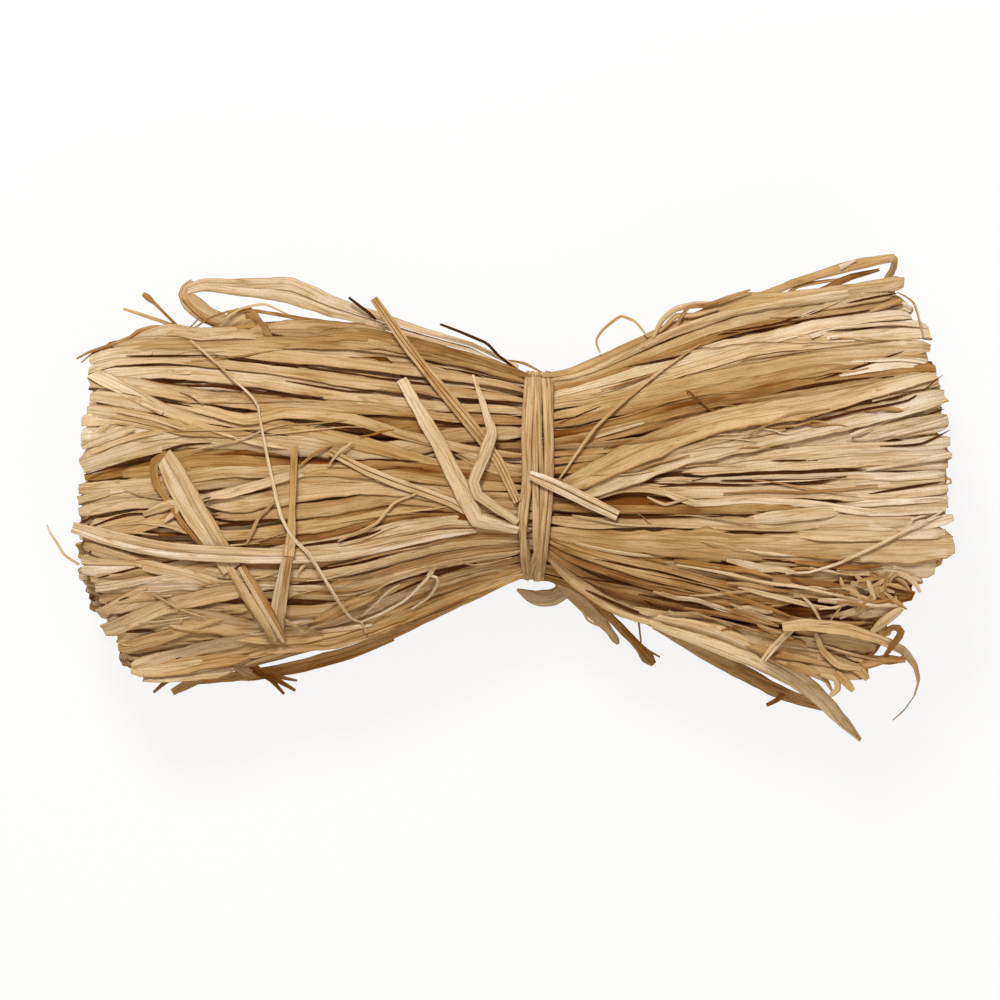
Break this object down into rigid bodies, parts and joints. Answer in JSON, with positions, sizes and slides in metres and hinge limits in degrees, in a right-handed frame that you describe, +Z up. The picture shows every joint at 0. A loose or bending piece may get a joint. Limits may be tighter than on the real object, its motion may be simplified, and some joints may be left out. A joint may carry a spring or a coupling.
{
  "type": "bundle of raffia",
  "caption": "Natural raffia strips folded into a hank and tied round the waist, lying flat, with loose ends and loops.",
  "frame": {"origin": "on the surface the bundle lies on, under the middle of its box", "axes": "+X along the bundle towards its longer, more ragged end, +Y across it towards the side with the two big loops, +Z up, away from the surface it lies on"},
  "size_m": [0.3101, 0.1645, 0.0654],
  "materials": {
    "bundle_raffia": "dry palm-leaf strips, straw colour, matt with a slight waxy sheen",
    "tie_raffia": "the same raffia, a little paler, wound tight",
    "loose_raffia": "the same raffia, from pale straw to tan, curled and split"
  },
  "bodies": {
    "root": {"sheaf_outer_01": "bundle_raffia", "sheaf_outer_02": "bundle_raffia", "sheaf_outer_03": "bundle_raffia", "sheaf_outer_04": "bundle_raffia", "sheaf_outer_05": "bundle_raffia", "sheaf_outer_06": "bundle_raffia", "sheaf_outer_07": "bundle_raffia", "sheaf_outer_08": "bundle_raffia", "sheaf_outer_09": "bundle_raffia", "sheaf_outer_10": "bundle_raffia", "sheaf_outer_11": "bundle_raffia", "sheaf_outer_12": "bundle_raffia", "sheaf_outer_13": "bundle_raffia", "sheaf_outer_14": "bundle_raffia", "sheaf_outer_15": "bundle_raffia", "sheaf_outer_16": "bundle_raffia", "sheaf_outer_17": "bundle_raffia", "sheaf_outer_18": "bundle_raffia", "sheaf_middle_01": "bundle_raffia", "sheaf_middle_02": "bundle_raffia", "sheaf_middle_03": "bundle_raffia", "sheaf_middle_04": "bundle_raffia", "sheaf_middle_05": "bundle_raffia", "sheaf_middle_06": "bundle_raffia", "sheaf_middle_07": "bundle_raffia", "sheaf_middle_08": "bundle_raffia", "sheaf_middle_09": "bundle_raffia", "sheaf_middle_10": "bundle_raffia", "sheaf_middle_11": "bundle_raffia", "sheaf_middle_12": "bundle_raffia", "sheaf_inner_01": "bundle_raffia", "sheaf_inner_02": "bundle_raffia", "sheaf_inner_03": "bundle_raffia", "sheaf_inner_04": "bundle_raffia", "sheaf_inner_05": "bundle_raffia", "sheaf_inner_06": "bundle_raffia", "sheaf_core": "bundle_raffia", "tie_strand": "tie_raffia", "tie_tail_tan": "tie_raffia", "tie_tail_wide": "tie_raffia", "tie_tail_bent": "tie_raffia", "tie_tail_narrow": "tie_raffia", "tie_tail_short": "tie_raffia", "loose_strip_diagonal": "loose_raffia", "loose_strip_lengthwise": "loose_raffia", "loose_strip_upright": "loose_raffia", "loose_thread_back_left": "loose_raffia", "loose_split_back_left": "loose_raffia", "loose_thread_left": "loose_raffia", "loose_fork_front_left": "loose_raffia", "loose_stub_front_left": "loose_raffia", "loose_loop_back_left": "loose_raffia", "loose_loop_back_right": "loose_raffia", "loose_curl_right": "loose_raffia", "loose_strip_front_left": "loose_raffia", "loose_strip_front_right": "loose_raffia", "loose_strip_front_right_deep": "loose_raffia", "loose_end_deep": "loose_raffia", "loose_end_rounded": "loose_raffia", "loose_curl_under_tie": "loose_raffia"}
  },
  "joints": []
}
